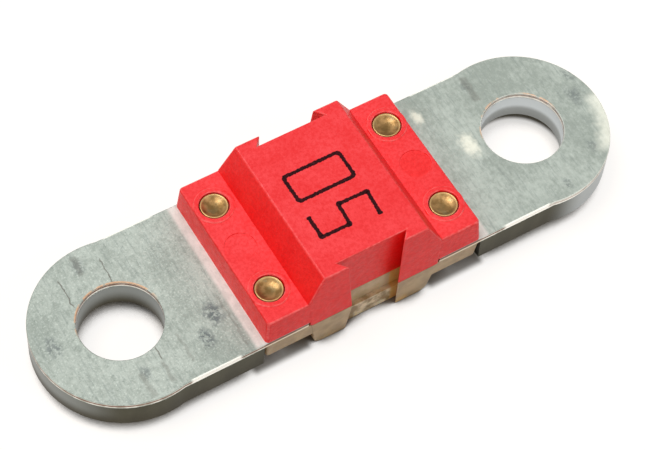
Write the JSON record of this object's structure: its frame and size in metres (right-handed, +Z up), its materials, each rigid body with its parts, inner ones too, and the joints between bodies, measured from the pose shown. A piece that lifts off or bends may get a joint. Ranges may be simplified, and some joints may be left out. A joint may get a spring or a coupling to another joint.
{
  "type": "bolt down strip fuse",
  "caption": "Flat strip fuse with a round bolt tab at each end and a riveted moulded body over its fusible neck.",
  "frame": {"origin": "midway between the two bolt holes, on the plane that the terminal plates seat on", "axes": "+X along the strip, +Y across it, +Z up through the cover"},
  "size_m": [0.0416, 0.012, 0.0075],
  "materials": {
    "tinned_strip": "matt tin plating on copper, with fine rolling marks",
    "tinned_plate": "tin-plated, satin",
    "red_moulding": "moulded plastic, satin with a fine pebble",
    "amber_moulding": "natural moulded plastic, slightly translucent",
    "rivet_brass": "dull drawn brass",
    "number_ink": "black marking ink"
  },
  "bodies": {
    "root": {"fuse_strip": "tinned_strip", "left_terminal_plate": "tinned_plate", "right_terminal_plate": "tinned_plate", "top_cover": "red_moulding", "lower_housing": "amber_moulding", "rivet_front_left": "rivet_brass", "rivet_front_right": "rivet_brass", "rivet_back_left": "rivet_brass", "rivet_back_right": "rivet_brass"}
  },
  "joints": []
}
